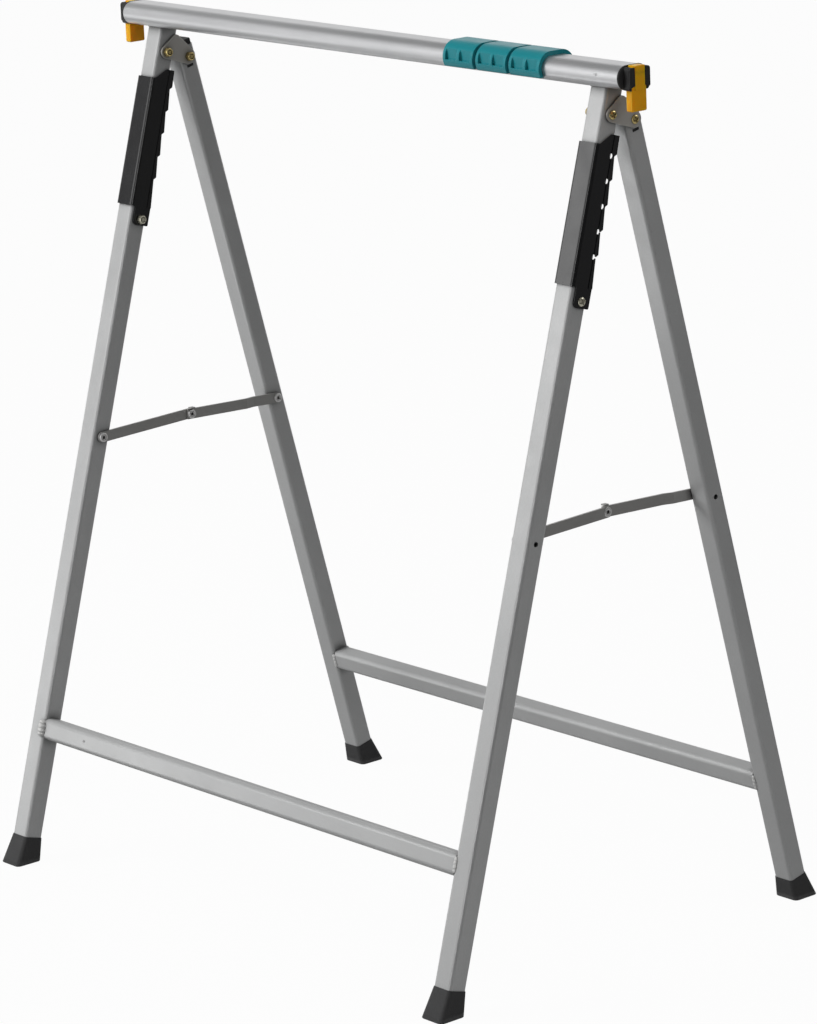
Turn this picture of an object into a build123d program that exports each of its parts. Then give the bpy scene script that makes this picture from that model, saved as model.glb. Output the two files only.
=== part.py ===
from build123d import *
import os
from math import atan2, cos, degrees, hypot, radians, sin

# A folding workstand: a beam on two welded front legs, and a rear frame of two legs that folds
# forward about a bolt in each front leg. X runs along the beam, Y to the back, Z up from the floor.
# The stand is drawn open. All sizes are in millimetres and degrees.

# Stance
FOOT_SPAN = 428.0
BEAM_TOP = 800.0
LEG_INSET = 34.5

# Leg and crossbar tubes
LEG_WIDTH = 22.0
LEG_DEPTH = 19.5
LEG_CORNER = 3.3
LEG_WALL = 1.5
LEG_START = 9.0
CROSSBAR_HEIGHT = 20.5
CROSSBAR_DEPTH = 18.0
CROSSBAR_CORNER = 3.0
FRONT_CROSSBAR_UP = 131.0
REAR_CROSSBAR_UP = 121.5

# Beam tube, a flat-sided oval
BEAM_LENGTH = 684.0
BEAM_WIDTH = 34.0
BEAM_HEIGHT = 21.0
BEAM_WALL = 1.5
BEAM_Y = 6.0
COPE_GAP = 0.3
COPE_DROP = 3.0

# Play between pieces that slide or turn on each other
SIDE_PLAY = 0.2
PIN_PLAY = 0.05

# Hinge of the rear frame, its bolts placed below the beam's top
PIVOT_Y = 3.0
PIVOT_DROP = 44.8
HINGE_SPREAD = 25.8
CLAMP_DROP = 52.0
PLATE_THICK = 2.0
PLATE_CHAMFER = 0.3
PIVOT_LOBE = 6.5
CLAMP_LOBE = 7.5
APEX_LOBE = 5.6
APEX_BACK = 11.4
APEX_RISE = 9.6
HINGE_BOLT = 5.0
REAR_LEG_HEADROOM = 10.0
PLUG_CAP = 5.5
PLUG_ROUND = 1.2
PLUG_INSET = 0.8
PLUG_DEPTH = 26.0
LUG_DROP = 9.6
LUG_LENGTH = 7.5
LUG_HEIGHT = 2.6

# End caps and the stops that slide up in them
CAP_BASE = 2.4
CAP_RAIL = 8.2
CAP_BACK = 1.5
CAP_ROUND = 1.2
CAP_OVERHANG = 0.3
CAP_PLUG = 10.0
RAIL_OUTSIDE = 11.8
RAIL_TOP_DROP = 1.0
RAIL_LEAD_IN = 4.0
STOP_WIDTH = 17.0
STOP_THICK = 7.2
STOP_RIB = 11.4
STOP_HEAD = 19.2
STOP_HEAD_HEIGHT = 2.0
STOP_PROUD = 0.2
STOP_REACH = 39.4
STOP_CHAMFER = 0.8

# Clip-on saddles along the beam
SADDLE_LENGTH = 39.0
SADDLE_PITCH = 43.0
SADDLE_INSET = 155.5
SADDLE_WALL = 4.0
SADDLE_PLAY = 0.3
SADDLE_GRIP = 7.5
POCKET_WIDTH = 14.0
POCKET_PITCH = 18.0
POCKET_DEPTH = 2.4
POCKET_DROP = 1.5

# Rubber feet
FOOT_WIDTH = 26.0
FOOT_OUT = 15.5
FOOT_IN = 11.5
FOOT_UP = 28.0
FOOT_WALL = 1.1
FOOT_CORNER = 4.0

# Fold-out support arms on the front legs
ARM_SHEET = 1.2
ARM_PLAY = 0.3
ARM_PIVOT_DROP = 160.3
ARM_PIVOT_BACK = 2.2
ARM_WEB_FOOT = 11.8
ARM_WEB_HEAD = 134.4
ARM_TIP = 144.1
ARM_TIP_BACK = 12.4
ARM_TIP_FRONT = 4.4
ARM_TAIL = 5.8
ARM_TAIL_FRONT = 6.3
ARM_TAIL_BACK = 11.7
ARM_TAIL_CORNER = 4.5
ARM_HEEL_CORNER = 1.5
ARM_BEND = 3.4
ARM_HEM = 0.6
ARM_HEM_BACK = 7.2
NOTCH_COUNT = 5
NOTCH_FIRST = 126.0
NOTCH_PITCH = 21.7
NOTCH_BACK = 13.1
NOTCH_DEPTH = 2.6
NOTCH_MOUTH = 2.3
NOTCH_STEP = 0.3
ARM_HOLE = 4.5
ARM_HOLE_BACK = 7.4
ARM_BOLT = 5.0

# Folding stays between the legs
STAY_UP = 399.0
STAY_RISE = 4.0
STAY_SPLIT = 0.492
STAY_HEIGHT = 10.0
STAY_THICK = 2.0
STAY_WASHER = 0.6
STAY_GAP = 0.3
STAY_END = 4.1
STAY_FLAT = 30.0
STAY_SLOPE = 10.0
LIP_BACK = 3.0
LIP_FRONT = 2.3
LIP_RISE = 1.6
LIP_REACH = 2.5
LIP_THICK = 1.2
RIVET = 5.0
RIVET_HEAD = 9.0
RIVET_HEAD_HEIGHT = 1.3
RIVET_HEAD_TAPER = 25.0
RIVET_BORE = 3.4
RIVET_BORE_DEPTH = 2.6
RIVET_TAIL = 7.0
RIVET_TAIL_HEIGHT = 1.0
ACCESS_HOLE = 4.8

# Screw heads and nuts
HEAD_WIDTH = 8.0
HEAD_HEIGHT = 1.8
HEAD_TAPER = 20.0
CROSS_LENGTH = 4.6
CROSS_WIDTH = 1.2
CROSS_DEPTH = 1.2
NUT_RADIUS = 4.6
NUT_HEIGHT = 3.2
THREAD_END = 1.0

# Worked out from the driving sizes
BEAM_END = BEAM_LENGTH / 2
LEG_X = BEAM_END - LEG_INSET
BEAM_Z = BEAM_TOP - BEAM_HEIGHT / 2
FRONT_LEG_WIDTH = LEG_WIDTH - 2 * SIDE_PLAY
PIVOT = (PIVOT_Y, BEAM_TOP - PIVOT_DROP)
CLAMP = (PIVOT_Y + HINGE_SPREAD, BEAM_TOP - CLAMP_DROP)
FRONT_LEAN = degrees(atan2(FOOT_SPAN / 2 + PIVOT[0], PIVOT[1]))
REAR_LEAN = degrees(atan2(FOOT_SPAN / 2 - CLAMP[0], CLAMP[1]))
PIVOT_UP = hypot(FOOT_SPAN / 2 + PIVOT[0], PIVOT[1])
CLAMP_UP = hypot(FOOT_SPAN / 2 - CLAMP[0], CLAMP[1])
ARM_PIVOT_UP = PIVOT_UP - ARM_PIVOT_DROP
REAR_LEG_TOP = CLAMP_UP + REAR_LEG_HEADROOM
CAP_LIP = CAP_BASE + CAP_RAIL - CAP_BACK - STOP_THICK - 2 * SIDE_PLAY
SADDLE_MIDDLE_X = BEAM_END - SADDLE_INSET
SIDES = {"left": -1, "right": 1}


def leg_plane(x, front, up):
    """Plane square to a leg, a distance up it: X along the beam, Y to the back, Z up the leg."""
    lean = radians(FRONT_LEAN if front else -REAR_LEAN)
    foot_y = -FOOT_SPAN / 2 if front else FOOT_SPAN / 2
    axis = Vector(0, sin(lean), cos(lean))
    return Plane(origin=Vector(x, foot_y, 0) + axis * up, x_dir=(1, 0, 0), z_dir=axis)


def side_plane(x, front, up, back=0.0):
    """Plane along a leg's side: its X to the leg's back, its Y up the leg, facing +X."""
    square = leg_plane(x, front, up)
    return Plane(origin=square.from_local_coords((0, back, 0)), x_dir=square.y_dir, z_dir=(1, 0, 0))


def on_leg(front, up, back=0.0):
    """A place on a leg's side, as (y, z)."""
    origin = side_plane(0, front, up, back).origin
    return origin.Y, origin.Z


def on_leg_at(front, height):
    """The place on a leg's axis at a height above the floor, as (y, z)."""
    lean = FRONT_LEAN if front else REAR_LEAN
    return on_leg(front, height / cos(radians(lean)))


ARM_PIVOT = on_leg(True, ARM_PIVOT_UP, ARM_PIVOT_BACK)
STAY_FRONT = on_leg_at(True, STAY_UP)
STAY_REAR = on_leg_at(False, STAY_UP)
STAY_CENTRE = (STAY_FRONT[0] + STAY_SPLIT * (STAY_REAR[0] - STAY_FRONT[0]), STAY_UP + STAY_RISE)

# Layers of a stay, measured inward from the inner face of the rear leg
FRONT_BAR_LAYER = STAY_WASHER - SIDE_PLAY / 2
REAR_BAR_LAYER = FRONT_BAR_LAYER + STAY_THICK + STAY_GAP


def save(piece, name):
    """Label a finished piece and write it."""
    piece.part.label = name
    export_step(piece.part, f"parts/{name}.step")


def drill(place, diameter, start, end):
    """Cut a round hole along X at a (y, z) place, from one X to another."""
    with BuildSketch(Plane.YZ.offset(start)) as hole:
        with Locations(place):
            Circle(diameter / 2)
    extrude(hole.sketch, amount=end - start, mode=Mode.SUBTRACT)


def rod(place, diameter, start, end):
    """Add a round rod along X at a (y, z) place, from one X to another."""
    with BuildSketch(Plane.YZ.offset(start)) as section:
        with Locations(place):
            Circle(diameter / 2)
    extrude(section.sketch, amount=end - start)


def leg_tube(plane, width, length):
    """Add a leg tube that stands on a plane square to it."""
    with BuildSketch(plane) as section:
        RectangleRounded(width, LEG_DEPTH, LEG_CORNER)
        inner_corner = LEG_CORNER - LEG_WALL
        RectangleRounded(width - 2 * LEG_WALL, LEG_DEPTH - 2 * LEG_WALL, inner_corner, mode=Mode.SUBTRACT)
    extrude(section.sketch, amount=length)


def stay_holes(place, side, leg_width):
    """Cut the rivet hole in a leg's inner wall and the access hole in its outer wall."""
    middle = side * LEG_X
    inner = middle - side * leg_width
    outer = middle + side * leg_width
    drill(place, RIVET + 2 * PIN_PLAY, inner, middle)
    drill(place, ACCESS_HOLE, middle, outer)


def make_beam():
    with BuildPart() as beam:
        with BuildSketch(Plane.YZ.offset(-BEAM_END)):
            with Locations((BEAM_Y, BEAM_Z)):
                SlotOverall(BEAM_WIDTH, BEAM_HEIGHT)
                SlotOverall(BEAM_WIDTH - 2 * BEAM_WALL, BEAM_HEIGHT - 2 * BEAM_WALL, mode=Mode.SUBTRACT)
        extrude(amount=BEAM_LENGTH)
    save(beam, "beam_tube")


def make_front_leg(name, side):
    """A front leg, its top shaped to the underside of the beam."""
    x = side * LEG_X
    length = BEAM_TOP / cos(radians(FRONT_LEAN)) - LEG_START
    with BuildPart() as leg:
        leg_tube(leg_plane(x, True, LEG_START), FRONT_LEG_WIDTH, length)
        with BuildSketch(Plane.YZ.offset(x - LEG_WIDTH)):
            with Locations((BEAM_Y, BEAM_Z + COPE_GAP / 2)):
                SlotOverall(BEAM_WIDTH + COPE_GAP, BEAM_HEIGHT + COPE_GAP)
            with Locations((BEAM_Y, BEAM_Z - COPE_DROP)):
                Rectangle(2 * BEAM_WIDTH, 2 * BEAM_HEIGHT, align=(Align.CENTER, Align.MIN))
        extrude(amount=2 * LEG_WIDTH, mode=Mode.SUBTRACT)
        drill(PIVOT, HINGE_BOLT + 2 * PIN_PLAY, x - LEG_WIDTH, x + LEG_WIDTH)
        drill(ARM_PIVOT, ARM_BOLT + 2 * PIN_PLAY, x - LEG_WIDTH, x + LEG_WIDTH)
        stay_holes(STAY_FRONT, side, FRONT_LEG_WIDTH)
    save(leg, f"front_leg_{name}")


def make_rear_leg(name, side):
    """A rear leg, cut square at its top, with a window for the plug's lug in each side."""
    x = side * LEG_X
    with BuildPart() as leg:
        leg_tube(leg_plane(x, False, LEG_START), LEG_WIDTH, REAR_LEG_TOP - LEG_START)
        drill(CLAMP, HINGE_BOLT + 2 * PIN_PLAY, x - LEG_WIDTH, x + LEG_WIDTH)
        with BuildSketch(side_plane(x - LEG_WIDTH, False, CLAMP_UP - LUG_DROP)):
            Rectangle(LUG_LENGTH, LUG_HEIGHT)
        extrude(amount=2 * LEG_WIDTH, mode=Mode.SUBTRACT)
        stay_holes(STAY_REAR, side, LEG_WIDTH)
    save(leg, f"rear_leg_{name}")


def make_crossbar(name, front, up, leg_width):
    """A crossbar between the inner faces of two legs, flush with their front faces."""
    length = 2 * LEG_X - leg_width
    back = (CROSSBAR_DEPTH - LEG_DEPTH) / 2
    with BuildPart() as bar:
        with BuildSketch(side_plane(-length / 2, front, up, back)):
            RectangleRounded(CROSSBAR_DEPTH, CROSSBAR_HEIGHT, CROSSBAR_CORNER)
            inner_depth = CROSSBAR_DEPTH - 2 * LEG_WALL
            inner_height = CROSSBAR_HEIGHT - 2 * LEG_WALL
            inner_corner = CROSSBAR_CORNER - LEG_WALL
            RectangleRounded(inner_depth, inner_height, inner_corner, mode=Mode.SUBTRACT)
        extrude(amount=length)
    save(bar, name)


def make_foot(name, side, front):
    """A flared rubber foot, with a socket for the end of the leg."""
    x = side * LEG_X
    reach = -1 if front else 1
    leg_width = FRONT_LEG_WIDTH if front else LEG_WIDTH
    base_depth = FOOT_OUT + FOOT_IN
    base_y = reach * (FOOT_SPAN / 2 + (FOOT_OUT - FOOT_IN) / 2)
    with BuildPart() as foot:
        with BuildSketch(Plane((x, base_y, 0))):
            RectangleRounded(FOOT_WIDTH, base_depth, FOOT_CORNER)
        with BuildSketch(leg_plane(x, front, FOOT_UP)):
            RectangleRounded(leg_width + 2 * FOOT_WALL, LEG_DEPTH + 2 * FOOT_WALL, FOOT_CORNER)
        loft()
        with BuildSketch(leg_plane(x, front, LEG_START)):
            RectangleRounded(leg_width + SIDE_PLAY, LEG_DEPTH + SIDE_PLAY, LEG_CORNER)
        extrude(amount=FOOT_UP, mode=Mode.SUBTRACT)
    save(foot, name)


def make_end_cap(name, side):
    """A plug for the beam's end, with two lipped rails that guide the end stop."""
    face = side * BEAM_END
    channel = STOP_WIDTH + 2 * SIDE_PLAY
    depth = STOP_THICK + 2 * SIDE_PLAY
    with BuildPart() as cap:
        with BuildSketch(Plane.YZ.offset(face)):
            with Locations((BEAM_Y, BEAM_Z)):
                SlotOverall(BEAM_WIDTH + 2 * CAP_OVERHANG, BEAM_HEIGHT + 2 * CAP_OVERHANG)
        extrude(amount=side * CAP_BASE)
        outer_rim = cap.faces().sort_by(Axis.X)[-1 if side > 0 else 0].edges()
        fillet(outer_rim, radius=CAP_ROUND)
        with BuildSketch(Plane.YZ.offset(face)):
            with Locations((BEAM_Y, BEAM_Z)):
                inside = 2 * (BEAM_WALL + SIDE_PLAY)
                SlotOverall(BEAM_WIDTH - inside, BEAM_HEIGHT - inside)
        extrude(amount=-side * CAP_PLUG)
        with BuildSketch(Plane.YZ.offset(face + side * CAP_BACK)):
            with Locations((BEAM_Y, BEAM_TOP - RAIL_TOP_DROP)):
                Rectangle(2 * RAIL_OUTSIDE, BEAM_HEIGHT - RAIL_TOP_DROP, align=(Align.CENTER, Align.MAX))
        extrude(amount=side * (CAP_BASE + CAP_RAIL - CAP_BACK))
        with BuildSketch(Plane.YZ.offset(face + side * CAP_BACK)):
            with Locations((BEAM_Y, BEAM_Z)):
                Rectangle(channel, 2 * BEAM_HEIGHT)
            with Locations((BEAM_Y, BEAM_TOP + STOP_PROUD - STOP_HEAD_HEIGHT)):
                Rectangle(STOP_HEAD + 2 * SIDE_PLAY, BEAM_HEIGHT, align=(Align.CENTER, Align.MIN))
        extrude(amount=side * depth, mode=Mode.SUBTRACT)
        with BuildSketch(Plane.YZ.offset(face + side * CAP_BACK)):
            with Locations((BEAM_Y, BEAM_Z)):
                Rectangle(STOP_RIB + 2 * SIDE_PLAY, 2 * BEAM_HEIGHT)
        extrude(amount=side * (CAP_BASE + CAP_RAIL), mode=Mode.SUBTRACT)
        with BuildSketch(Plane.YZ.offset(face + side * (CAP_BACK + depth))):
            with Locations((BEAM_Y, BEAM_TOP - BEAM_HEIGHT)):
                foot = RAIL_OUTSIDE
                head = STOP_RIB / 2
                Polygon((-foot, 0), (foot, 0), (head, RAIL_LEAD_IN), (-head, RAIL_LEAD_IN), align=None)
        extrude(amount=side * CAP_RAIL, mode=Mode.SUBTRACT)
    save(cap, f"end_cap_{name}")


def make_end_stop(name, side):
    """A stop that hangs in the end cap on its head, and pushes up from below."""
    back = side * (BEAM_END + CAP_BACK + SIDE_PLAY)
    top = BEAM_TOP + STOP_PROUD
    with BuildPart() as stop:
        with BuildSketch(Plane.YZ.offset(back)):
            with Locations((BEAM_Y, top)):
                Rectangle(STOP_WIDTH, STOP_REACH, align=(Align.CENTER, Align.MAX))
                Rectangle(STOP_HEAD, STOP_HEAD_HEIGHT, align=(Align.CENTER, Align.MAX))
        extrude(amount=side * STOP_THICK)
        with BuildSketch(Plane.YZ.offset(back + side * STOP_THICK)):
            with Locations((BEAM_Y, top)):
                Rectangle(STOP_RIB, BEAM_HEIGHT + STOP_PROUD, align=(Align.CENTER, Align.MAX))
        extrude(amount=side * (CAP_LIP + SIDE_PLAY))
        low_edges = stop.faces().sort_by(Axis.Z)[0].edges()
        chamfer(low_edges, length=STOP_CHAMFER)
    save(stop, f"end_stop_{name}")


def make_saddle(name, x):
    """A clip that grips the beam from above, with two pockets in its front and its back."""
    start = x - SADDLE_LENGTH / 2
    outer_width = BEAM_WIDTH + 2 * SADDLE_WALL
    outer_height = BEAM_HEIGHT + 2 * SADDLE_WALL
    with BuildPart() as saddle:
        with BuildSketch(Plane.YZ.offset(start)):
            with Locations((BEAM_Y, BEAM_Z)):
                SlotOverall(outer_width, outer_height)
            with Locations((BEAM_Y, BEAM_Z - SADDLE_PLAY)):
                play = 2 * SADDLE_PLAY
                SlotOverall(BEAM_WIDTH + play, BEAM_HEIGHT + play, mode=Mode.SUBTRACT)
            with Locations((BEAM_Y, BEAM_Z - SADDLE_GRIP)):
                Rectangle(outer_width, outer_height, align=(Align.CENTER, Align.MAX), mode=Mode.SUBTRACT)
        extrude(amount=SADDLE_LENGTH)
        for facing in (-1, 1):
            wall_y = BEAM_Y + facing * (outer_width / 2 - POCKET_DEPTH)
            with BuildSketch(Plane.XZ.offset(-wall_y)):
                with Locations((x, BEAM_Z - POCKET_DROP)):
                    with GridLocations(POCKET_PITCH, 1, 2, 1):
                        Rectangle(POCKET_WIDTH, outer_height, align=(Align.CENTER, Align.MIN))
            extrude(amount=-facing * 2 * POCKET_DEPTH, mode=Mode.SUBTRACT)
    save(saddle, f"saddle_{name}")


def make_hinge_plate(name, start):
    """A gusset fixed to the rear leg, which turns on the bolt in the front leg."""
    apex = (PIVOT[0] + APEX_BACK, PIVOT[1] + APEX_RISE)
    with BuildPart() as plate:
        with BuildSketch(Plane.YZ.offset(start)):
            with Locations(PIVOT):
                Circle(PIVOT_LOBE)
            with Locations(CLAMP):
                Circle(CLAMP_LOBE)
            with Locations(apex):
                Circle(APEX_LOBE)
            make_hull()
            with Locations(PIVOT, CLAMP):
                Circle(HINGE_BOLT / 2 + PIN_PLAY, mode=Mode.SUBTRACT)
        extrude(amount=PLATE_THICK)
        straight_edges = plate.edges().filter_by(GeomType.LINE).filter_by(Axis.X, reverse=True)
        chamfer(straight_edges, length=PLATE_CHAMFER)
    save(plate, f"hinge_plate_{name}")


def make_leg_plug(name, side):
    """A plug in the rear leg's open top, held by a lug in each side window."""
    x = side * LEG_X
    insert_width = LEG_WIDTH - 2 * (LEG_WALL + SIDE_PLAY)
    insert_depth = LEG_DEPTH - 2 * (LEG_WALL + SIDE_PLAY)
    cap_width = LEG_WIDTH - 2 * PLUG_INSET
    cap_depth = LEG_DEPTH - 2 * PLUG_INSET
    leg_top = leg_plane(x, False, REAR_LEG_TOP)
    with BuildPart() as plug:
        with BuildSketch(leg_top):
            RectangleRounded(cap_width, cap_depth, LEG_CORNER - PLUG_INSET)
        extrude(amount=PLUG_CAP)
        top_face = plug.faces().sort_by(Axis(leg_top.origin, leg_top.z_dir))[-1]
        fillet(top_face.edges(), radius=PLUG_ROUND)
        with BuildSketch(leg_top):
            RectangleRounded(insert_width, insert_depth, LEG_CORNER - LEG_WALL)
        extrude(amount=-PLUG_DEPTH)
        lug_span = LEG_WIDTH - 2 * SIDE_PLAY
        with BuildSketch(side_plane(x - lug_span / 2, False, CLAMP_UP - LUG_DROP)):
            Rectangle(LUG_LENGTH - 2 * SIDE_PLAY, LUG_HEIGHT - 2 * SIDE_PLAY)
        extrude(amount=lug_span)
        drill(CLAMP, HINGE_BOLT + 4 * PIN_PLAY, x - LEG_WIDTH, x + LEG_WIDTH)
    save(plug, f"leg_plug_{name}")


def add_screw(place, diameter, side, seat, end):
    """A cross-head screw whose head sits on a face at the outer side and whose end points inward."""
    tip = end - side * (NUT_HEIGHT + THREAD_END)
    rod(place, diameter, seat, tip)
    with BuildSketch(Plane.YZ.offset(seat)) as head:
        with Locations(place):
            Circle(HEAD_WIDTH / 2)
    extrude(head.sketch, amount=side * HEAD_HEIGHT, taper=HEAD_TAPER)
    with BuildSketch(Plane.YZ.offset(seat + side * HEAD_HEIGHT)) as cross:
        with Locations(place):
            Rectangle(CROSS_LENGTH, CROSS_WIDTH)
            Rectangle(CROSS_WIDTH, CROSS_LENGTH)
    extrude(cross.sketch, amount=-side * CROSS_DEPTH, mode=Mode.SUBTRACT)


def add_nut(place, diameter, side, seat):
    """A hexagon nut on the inner side of a face."""
    with BuildSketch(Plane.YZ.offset(seat)) as section:
        with Locations(place):
            RegularPolygon(NUT_RADIUS, 6)
            Circle(diameter / 2 + PIN_PLAY, mode=Mode.SUBTRACT)
    extrude(section.sketch, amount=-side * NUT_HEIGHT)


def make_hinge_fasteners():
    """The screws and nuts of both hinges."""
    reach = LEG_WIDTH / 2 + PLATE_THICK
    with BuildPart() as screws:
        for side in SIDES.values():
            for place in (PIVOT, CLAMP):
                add_screw(place, HINGE_BOLT, side, side * (LEG_X + reach), side * (LEG_X - reach))
    save(screws, "hinge_screws")
    with BuildPart() as nuts:
        for side in SIDES.values():
            for place in (PIVOT, CLAMP):
                add_nut(place, HINGE_BOLT, side, side * (LEG_X - reach))
    save(nuts, "hinge_nuts")


def arm_outline():
    """Corners of an arm's side, from the arm's pivot: to the leg's back, and up the leg."""
    front = -LEG_DEPTH / 2 - ARM_PLAY - ARM_SHEET - ARM_PIVOT_BACK
    back = NOTCH_BACK - ARM_PIVOT_BACK
    tail_front = -ARM_TAIL_FRONT - ARM_PIVOT_BACK
    tail_back = ARM_TAIL_BACK - ARM_PIVOT_BACK
    points = [
        (front, ARM_WEB_FOOT),
        (front, ARM_WEB_HEAD),
        (front + ARM_BEND + ARM_SHEET, ARM_WEB_HEAD),
        (ARM_TIP_FRONT - ARM_PIVOT_BACK, ARM_TIP),
        (ARM_TIP_BACK - ARM_PIVOT_BACK, ARM_TIP),
    ]
    for notch in range(NOTCH_COUNT):
        up = NOTCH_FIRST - notch * NOTCH_PITCH
        points.append((back, up + NOTCH_MOUTH))
        points.append((back - NOTCH_DEPTH, up))
        back = back - NOTCH_STEP
    points += [
        (tail_back, ARM_WEB_FOOT),
        (tail_back, -ARM_TAIL),
        (tail_front, -ARM_TAIL),
        (tail_front, ARM_WEB_FOOT),
    ]
    return points


def make_arm(name, side):
    """A channel that hugs the front leg, with a notched edge that faces up when it is swung out."""
    x = side * LEG_X
    half_inside = FRONT_LEG_WIDTH / 2 + ARM_PLAY
    half_outside = half_inside + ARM_SHEET
    web_inside = -LEG_DEPTH / 2 - ARM_PLAY
    stock = 2 * LEG_DEPTH
    pivot_plane = side_plane(x, True, ARM_PIVOT_UP, ARM_PIVOT_BACK)
    tail_place = pivot_plane.from_local_coords((-ARM_TAIL_FRONT - ARM_PIVOT_BACK, -ARM_TAIL, 0))
    heel_place = pivot_plane.from_local_coords((ARM_TAIL_BACK - ARM_PIVOT_BACK, -ARM_TAIL, 0))
    hole_middle = NOTCH_FIRST - (NOTCH_COUNT - 1) * NOTCH_PITCH / 2
    with BuildPart() as arm:
        with BuildSketch(leg_plane(x, True, ARM_PIVOT_UP - ARM_TIP)):
            from_front = (Align.CENTER, Align.MIN)
            with Locations((0, web_inside - ARM_SHEET)):
                RectangleRounded(2 * half_outside, stock, ARM_BEND, align=from_front)
            with Locations((0, web_inside)):
                inner_bend = ARM_BEND - ARM_SHEET
                RectangleRounded(2 * half_inside, stock, inner_bend, align=from_front, mode=Mode.SUBTRACT)
        extrude(amount=3 * ARM_TIP)
        for facing in (-1, 1):
            with BuildSketch(pivot_plane.offset(facing * half_inside)):
                with Locations((ARM_HEM_BACK - ARM_PIVOT_BACK, ARM_WEB_FOOT)):
                    Rectangle(LEG_DEPTH, ARM_TIP, align=(Align.MIN, Align.MIN))
            extrude(amount=facing * (ARM_SHEET + ARM_HEM))
        with BuildSketch(pivot_plane.offset(-2 * half_outside)):
            with BuildLine():
                Polyline(*arm_outline(), close=True)
            make_face()
        extrude(amount=4 * half_outside, mode=Mode.INTERSECT)
        fillet(arm.edges().filter_by(Axis.X).sort_by_distance(tail_place)[0:2], radius=ARM_TAIL_CORNER)
        fillet(arm.edges().filter_by(Axis.X).sort_by_distance(heel_place)[0:2], radius=ARM_HEEL_CORNER)
        with BuildSketch(pivot_plane):
            with Locations((ARM_HOLE_BACK - ARM_PIVOT_BACK, hole_middle)):
                with GridLocations(1, NOTCH_PITCH, 1, NOTCH_COUNT):
                    Circle(ARM_HOLE / 2)
        extrude(amount=side * 2 * half_outside, mode=Mode.SUBTRACT)
        drill(ARM_PIVOT, ARM_BOLT + 2 * PIN_PLAY, x - LEG_WIDTH, x + LEG_WIDTH)
    save(arm, f"support_arm_{name}")

    seat = side * (LEG_X + half_outside)
    end = side * (LEG_X - half_outside)
    with BuildPart() as screw:
        add_screw(ARM_PIVOT, ARM_BOLT, side, seat, end)
    save(screw, f"arm_screw_{name}")
    with BuildPart() as nut:
        add_nut(ARM_PIVOT, ARM_BOLT, side, end)
    save(nut, f"arm_nut_{name}")


def bar_plane(x, start, end):
    """Plane facing +X whose X runs from one (y, z) place towards another."""
    along = Vector(0, end[0] - start[0], end[1] - start[1])
    return Plane(origin=(x, start[0], start[1]), x_dir=along, z_dir=(1, 0, 0))


def stay_layer(side, layer):
    """X of a stay layer, measured inward from the rear leg's inner face."""
    return side * (LEG_X - LEG_WIDTH / 2 - layer)


def make_front_bar(name, side):
    """A straight bar, round about both its pivots."""
    length = (Vector(*STAY_CENTRE) - Vector(*STAY_FRONT)).length
    with BuildPart() as bar:
        with BuildSketch(bar_plane(stay_layer(side, FRONT_BAR_LAYER), STAY_FRONT, STAY_CENTRE)):
            with Locations((length / 2, 0)):
                SlotCenterToCenter(length, STAY_HEIGHT)
            with Locations((0, 0), (length, 0)):
                Circle(RIVET / 2 + PIN_PLAY, mode=Mode.SUBTRACT)
        extrude(amount=-side * STAY_THICK)
    save(bar, f"stay_front_{name}")


def make_rear_bar(name, side):
    """A bar that steps over the front bar, with a finger lip by the centre pivot to lift it by."""
    length = (Vector(*STAY_CENTRE) - Vector(*STAY_REAR)).length
    step = STAY_THICK + STAY_GAP
    end = length + STAY_END
    flat_plane = bar_plane(stay_layer(side, FRONT_BAR_LAYER), STAY_REAR, STAY_CENTRE)
    along = flat_plane.x_dir
    edge_plane = Plane(origin=flat_plane.origin, x_dir=along, z_dir=along.cross(Vector(-side, 0, 0)))
    lip_length = LIP_BACK + LIP_FRONT
    lip_place = (length - LIP_BACK, -STAY_HEIGHT / 2 - LIP_RISE)
    with BuildPart() as bar:
        with BuildSketch(flat_plane):
            Circle(STAY_HEIGHT / 2)
            Rectangle(end, STAY_HEIGHT, align=(Align.MIN, Align.CENTER))
            with Locations((0, 0), (length, 0)):
                Circle(RIVET / 2 + PIN_PLAY, mode=Mode.SUBTRACT)
        extrude(amount=-side * (step + STAY_THICK))
        with BuildSketch(edge_plane):
            with BuildLine():
                Polyline(
                    (-STAY_HEIGHT, 0),
                    (STAY_FLAT, 0),
                    (STAY_FLAT + STAY_SLOPE, step),
                    (end, step),
                    (end, step + STAY_THICK),
                    (STAY_FLAT + STAY_SLOPE, step + STAY_THICK),
                    (STAY_FLAT, STAY_THICK),
                    (-STAY_HEIGHT, STAY_THICK),
                    close=True,
                )
            make_face()
        extrude(amount=STAY_HEIGHT, both=True, mode=Mode.INTERSECT)
        for height, depth in ((2 * LIP_RISE, STAY_THICK), (LIP_THICK, STAY_THICK + LIP_REACH)):
            with BuildSketch(flat_plane.offset(-side * step)):
                with Locations(lip_place):
                    Rectangle(lip_length, height, align=(Align.MIN, Align.MIN))
            extrude(amount=-side * depth)
    save(bar, f"stay_rear_{name}")


def add_rivet(place, side, washer, seat, grip, tail):
    """A hollow rivet along X: a washer from the seat inward, a shank through the bar, and a head."""
    bar_face = seat - side * washer
    head = bar_face - side * grip
    if washer:
        rod(place, RIVET_HEAD, seat, bar_face)
    rod(place, RIVET, seat, head)
    with BuildSketch(Plane.YZ.offset(head)) as dome:
        with Locations(place):
            Circle(RIVET_HEAD / 2)
    extrude(dome.sketch, amount=-side * RIVET_HEAD_HEIGHT, taper=RIVET_HEAD_TAPER)
    if tail:
        inside = seat + side * (LEG_WALL + SIDE_PLAY)
        rod(place, RIVET, seat, inside)
        rod(place, RIVET_TAIL, inside, inside + side * RIVET_TAIL_HEIGHT)
    top = head - side * RIVET_HEAD_HEIGHT
    drill(place, RIVET_BORE, top, top + side * RIVET_BORE_DEPTH)


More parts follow.
